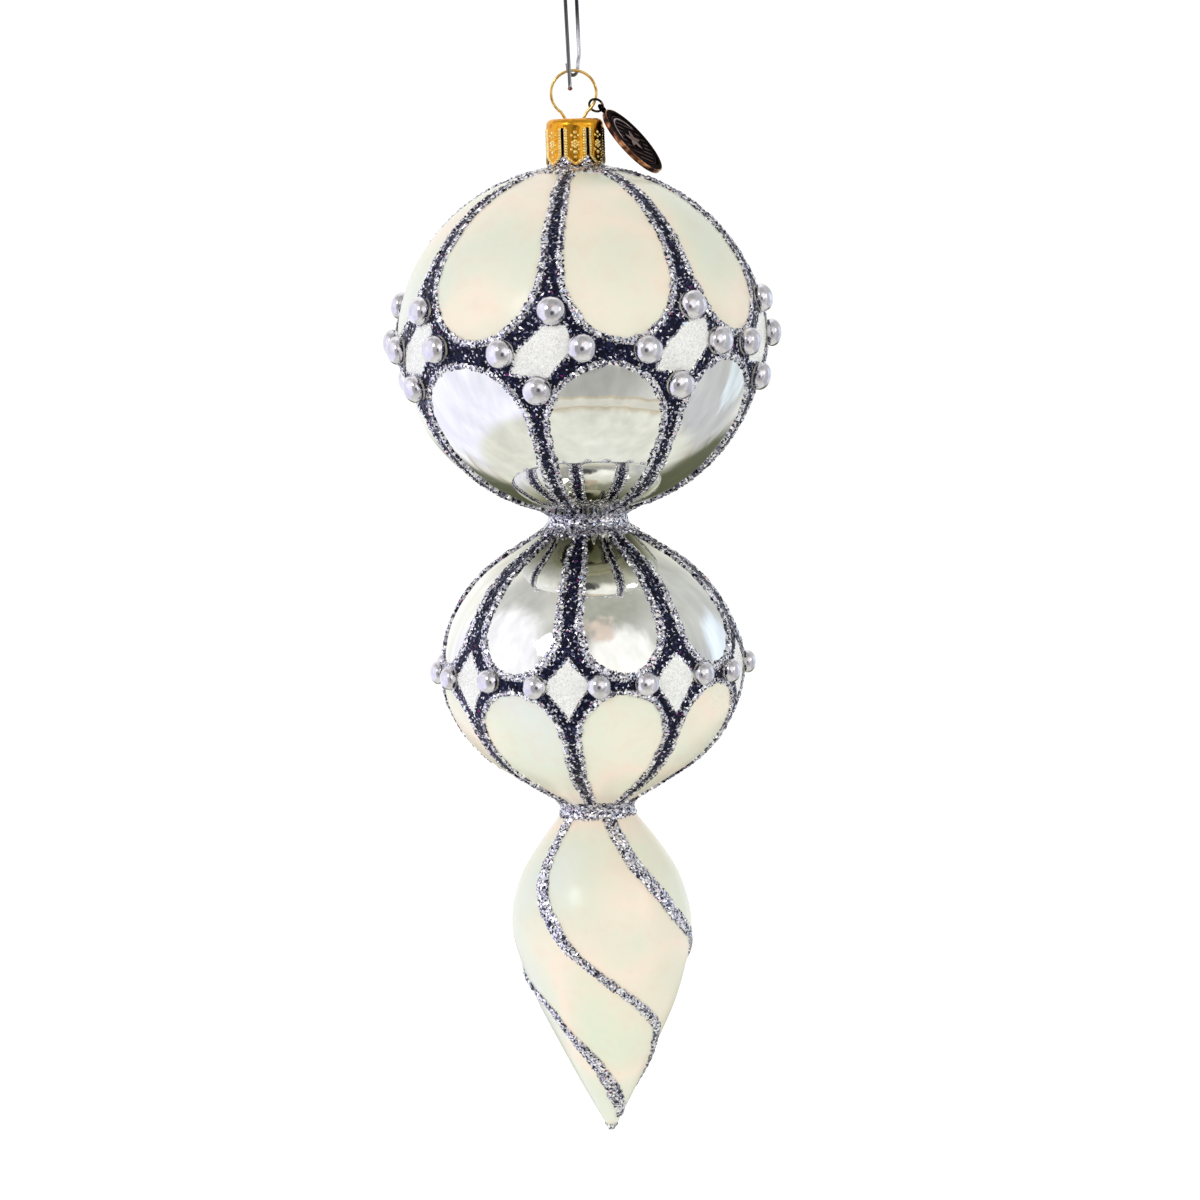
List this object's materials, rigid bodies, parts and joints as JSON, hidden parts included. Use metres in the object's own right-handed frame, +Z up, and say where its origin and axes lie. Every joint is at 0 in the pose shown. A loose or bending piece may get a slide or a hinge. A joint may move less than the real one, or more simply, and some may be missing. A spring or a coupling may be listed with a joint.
{
  "type": "icicle hanging ornament",
  "caption": "Blown-glass icicle ornament: two pearl-banded balls above a long spiral-striped drop, hung by a gold cap, a wire loop and a wire hook, with a small oval tag.",
  "frame": {"origin": "the hang point: the inside top of the hook's crook, where what the ornament hangs from bears", "axes": "+Z up along the ornament's axis, -Y to the front, +X to the right"},
  "size_m": [0.0858, 0.086, 0.2602],
  "materials": {
    "steel_wire": "thin bright steel wire, slightly tarnished",
    "brass_wire": "bright gold-coloured spring wire",
    "gold_cap": "stamped sheet with gold lacquer",
    "lacquered_glass": "silvered blown glass, partly under cream lacquer, with glitter lines and spirals",
    "pearl": "glossy silver pearl half-beads",
    "black_metal": "black oxide",
    "dark_bronze": "dark bronze with a worn copper edge"
  },
  "bodies": {
    "hook": {"wire_hook": "steel_wire"},
    "hanger": {"wire_hanger": "brass_wire"},
    "cap": {"metal_cap": "gold_cap"},
    "glass": {"glass_body": "lacquered_glass", "upper_pearl_01": "pearl", "upper_pearl_02": "pearl", "upper_pearl_03": "pearl", "upper_pearl_04": "pearl", "upper_pearl_05": "pearl", "upper_pearl_06": "pearl", "upper_pearl_07": "pearl", "upper_pearl_08": "pearl", "upper_pearl_09": "pearl", "upper_pearl_10": "pearl", "upper_pearl_11": "pearl", "upper_pearl_12": "pearl", "upper_pearl_13": "pearl", "upper_pearl_14": "pearl", "upper_pearl_15": "pearl", "upper_pearl_16": "pearl", "upper_pearl_17": "pearl", "upper_pearl_18": "pearl", "upper_pearl_19": "pearl", "upper_pearl_20": "pearl", "upper_pearl_21": "pearl", "upper_pearl_22": "pearl", "upper_pearl_23": "pearl", "upper_pearl_24": "pearl", "upper_pearl_25": "pearl", "upper_pearl_26": "pearl", "upper_pearl_27": "pearl", "upper_pearl_28": "pearl", "upper_pearl_29": "pearl", "upper_pearl_30": "pearl", "upper_pearl_31": "pearl", "upper_pearl_32": "pearl", "lower_pearl_01": "pearl", "lower_pearl_02": "pearl", "lower_pearl_03": "pearl", "lower_pearl_04": "pearl", "lower_pearl_05": "pearl", "lower_pearl_06": "pearl", "lower_pearl_07": "pearl", "lower_pearl_08": "pearl", "lower_pearl_09": "pearl", "lower_pearl_10": "pearl", "lower_pearl_11": "pearl", "lower_pearl_12": "pearl", "lower_pearl_13": "pearl", "lower_pearl_14": "pearl", "lower_pearl_15": "pearl", "lower_pearl_16": "pearl"},
    "tag_ring": {"tag_ring": "black_metal"},
    "tag": {"hang_tag": "dark_bronze"}
  },
  "joints": [
    {"name": "hanger_swing", "type": "hinge", "parent": "hook", "child": "hanger", "pos_m": [0, 0, -0.02855], "axis": [0, 1, 0], "range_deg": [-30, 30]},
    {"name": "hanger_pull", "type": "slide", "parent": "hanger", "child": "cap", "axis": [0, 0, -1], "range_m": [0, 0.024]},
    {"name": "glass_turn", "type": "hinge", "parent": "cap", "child": "glass", "pos_m": [0, 0, -0.045], "axis": [0, 0, 1], "continuous": true},
    {"name": "tag_ring_swing", "type": "hinge", "parent": "hanger", "child": "tag_ring", "pos_m": [0.00418, 0, -0.03476], "axis": [0.5, 0, 0.866], "range_deg": [-20, 20]},
    {"name": "tag_swing", "type": "hinge", "parent": "tag_ring", "child": "tag", "pos_m": [0.006, 0, -0.03581], "axis": [0.4096, -0.5736, 0.7094], "range_deg": [0, 60]}
  ]
}
